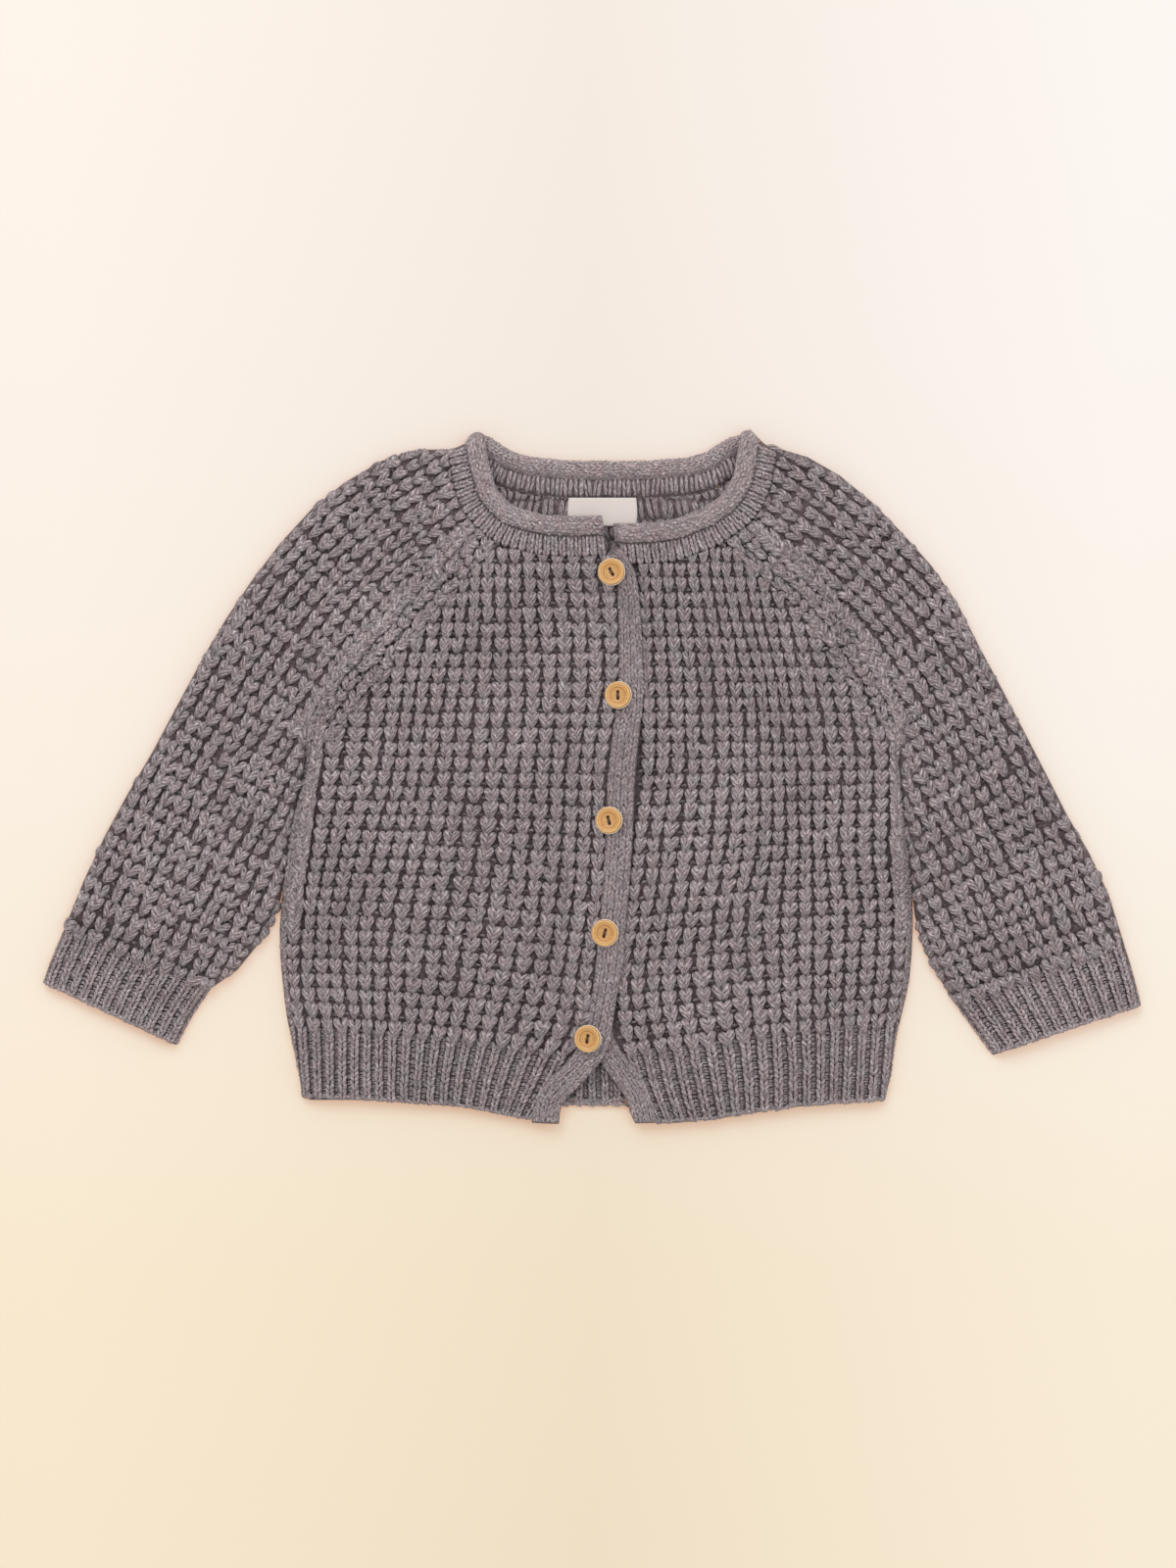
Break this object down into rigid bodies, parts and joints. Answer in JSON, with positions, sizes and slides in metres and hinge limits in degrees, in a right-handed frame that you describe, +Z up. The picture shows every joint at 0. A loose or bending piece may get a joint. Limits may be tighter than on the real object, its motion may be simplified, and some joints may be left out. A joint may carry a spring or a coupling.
{
  "type": "baby cardigan",
  "caption": "Chunky knitted baby cardigan with raglan sleeves, rolled neck, ribbed hem and cuffs, and wooden buttons, lying flat and buttoned up.",
  "frame": {"origin": "middle of the garment's length and sleeve span, on the surface that its back lies on", "axes": "+Z up, out of the front; +Y from the hem to the neck; +X towards the wearer's left sleeve"},
  "size_m": [0.5134, 0.3238, 0.0149],
  "materials": {
    "knit": "matt, slightly fuzzy melange wool yarn in mauve grey",
    "button_wood": "satin",
    "label_satin": "satin"
  },
  "bodies": {
    "root": {"back": "knit", "front_right": "knit", "front_left": "knit", "hem_back": "knit", "hem_front_right": "knit", "hem_front_left": "knit", "sleeve_right": "knit", "sleeve_left": "knit", "cuff_right": "knit", "cuff_left": "knit", "neckband": "knit", "neck_roll": "knit", "placket_right": "knit", "placket_left": "knit", "button_1": "button_wood", "button_2": "button_wood", "button_3": "button_wood", "button_4": "button_wood", "button_5": "button_wood", "neck_label": "label_satin"}
  },
  "joints": []
}
